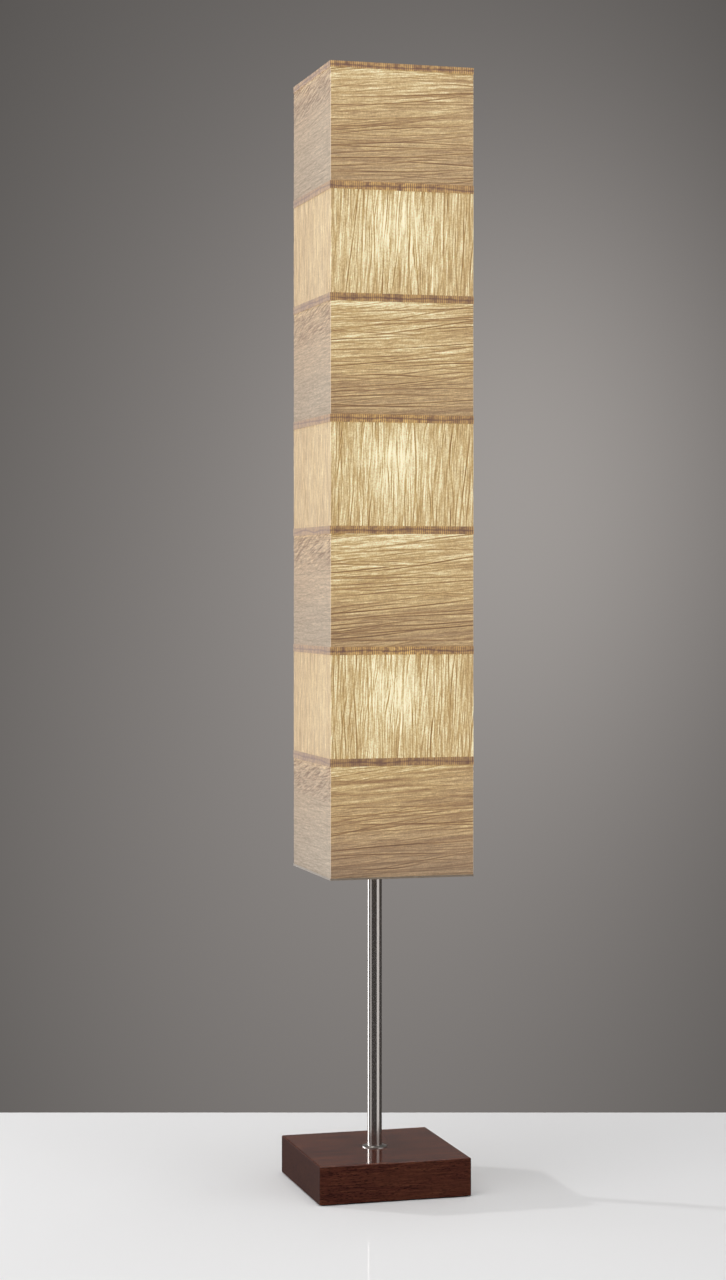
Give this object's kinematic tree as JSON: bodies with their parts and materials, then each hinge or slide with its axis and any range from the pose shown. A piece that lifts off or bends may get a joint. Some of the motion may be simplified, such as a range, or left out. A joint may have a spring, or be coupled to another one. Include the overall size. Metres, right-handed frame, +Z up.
{
  "type": "andon floor lamp",
  "caption": "Tall square tower lamp: crinkled cloth shade in alternating strips with brown trim, hung from a slim steel pole on a square dark wood base.",
  "frame": {"origin": "on the pole's axis, at the floor", "axes": "+Z up; the front of the lamp, the wide face in the picture, faces -Y; the shade hangs 10 mm towards +X"},
  "size_m": [0.205, 0.2, 1.441],
  "materials": {
    "wood": "dark red-brown, satin lacquer, fine straight grain",
    "inlet_plastic": "moulded black",
    "weight_steel": "plain dark steel",
    "zinc_steel": "bright zinc plate",
    "sheet_foam": "matt closed-cell foam",
    "pole_steel": "brushed nickel, brush marks along the pole",
    "insert_brass": "turned",
    "flat_cloth": "crinkled translucent cloth, wrinkles level, lit from inside",
    "upright_cloth": "crinkled translucent cloth, wrinkles upright, lit from inside",
    "trim_cloth": "flat woven brown ribbon with fine upright threads",
    "frame_wire": "off-white painted wire",
    "bulb_glass": "frosted, lit",
    "bulb_metal": "rolled screw base",
    "holder_plastic": "moulded black",
    "holder_brass": "rolled",
    "arm_metal": "satin nickel paint"
  },
  "bodies": {
    "root": {"base_block": "wood", "cord_inlet": "inlet_plastic", "weight_plate": "weight_steel", "weight_screws": "zinc_steel", "non_slip_sheet": "sheet_foam", "stud_washer": "zinc_steel", "stud_nut": "zinc_steel", "base_stud": "zinc_steel", "pole_collar": "pole_steel", "lower_pole": "pole_steel", "pole_insert": "insert_brass", "pole_coupling": "insert_brass", "upper_pole": "pole_steel", "top_plug": "pole_steel", "top_stem": "zinc_steel", "seat_nut": "pole_steel", "holder_shell_1": "holder_plastic", "holder_shell_2": "holder_plastic", "holder_shell_3": "holder_plastic", "screw_shell_1": "holder_brass", "screw_shell_2": "holder_brass", "screw_shell_3": "holder_brass", "contact_block_1": "holder_plastic", "contact_block_2": "holder_plastic", "contact_block_3": "holder_plastic", "holder_cap_1": "holder_plastic", "holder_cap_2": "holder_plastic", "holder_cap_3": "holder_plastic", "holder_arm_1": "arm_metal", "holder_arm_2": "arm_metal", "holder_arm_3": "arm_metal"},
    "washer": {"hub_washer": "pole_steel"},
    "shade": {"flat_cloth_1": "flat_cloth", "flat_cloth_2": "flat_cloth", "flat_cloth_3": "flat_cloth", "flat_cloth_4": "flat_cloth", "upright_cloth_1": "upright_cloth", "upright_cloth_2": "upright_cloth", "upright_cloth_3": "upright_cloth", "top_band": "trim_cloth", "trim_band_1": "trim_cloth", "trim_band_2": "trim_cloth", "trim_band_3": "trim_cloth", "trim_band_4": "trim_cloth", "trim_band_5": "trim_cloth", "trim_band_6": "trim_cloth", "bottom_hem": "trim_cloth", "corner_posts": "frame_wire", "top_rails": "frame_wire", "inner_rails": "frame_wire", "bottom_rails": "frame_wire", "spider_hub": "frame_wire", "spider_arms": "frame_wire"},
    "finial": {"finial": "pole_steel"},
    "bulb_1": {"bulb_glass_1": "bulb_glass", "bulb_base_1": "bulb_metal"},
    "bulb_2": {"bulb_glass_2": "bulb_glass", "bulb_base_2": "bulb_metal"},
    "bulb_3": {"bulb_glass_3": "bulb_glass", "bulb_base_3": "bulb_metal"}
  },
  "joints": [
    {"name": "shade_turn", "type": "hinge", "parent": "root", "child": "washer", "pos_m": [0, 0, 1.415], "axis": [0, 0, 1], "continuous": true},
    {"name": "shade_lift", "type": "slide", "parent": "washer", "child": "shade", "axis": [0, 0, 1], "range_m": [0, 1.05]},
    {"name": "finial_turn", "type": "hinge", "parent": "shade", "child": "finial", "pos_m": [0, 0, 1.415], "axis": [0, 0, 1], "continuous": true},
    {"name": "bulb_turn_1", "type": "hinge", "parent": "root", "child": "bulb_1", "pos_m": [0, -0.045, 1.23], "axis": [0, 0, 1], "continuous": true},
    {"name": "bulb_turn_2", "type": "hinge", "parent": "root", "child": "bulb_2", "pos_m": [0, -0.045, 0.936], "axis": [0, 0, 1], "continuous": true},
    {"name": "bulb_turn_3", "type": "hinge", "parent": "root", "child": "bulb_3", "pos_m": [0, -0.045, 0.642], "axis": [0, 0, 1], "continuous": true}
  ]
}
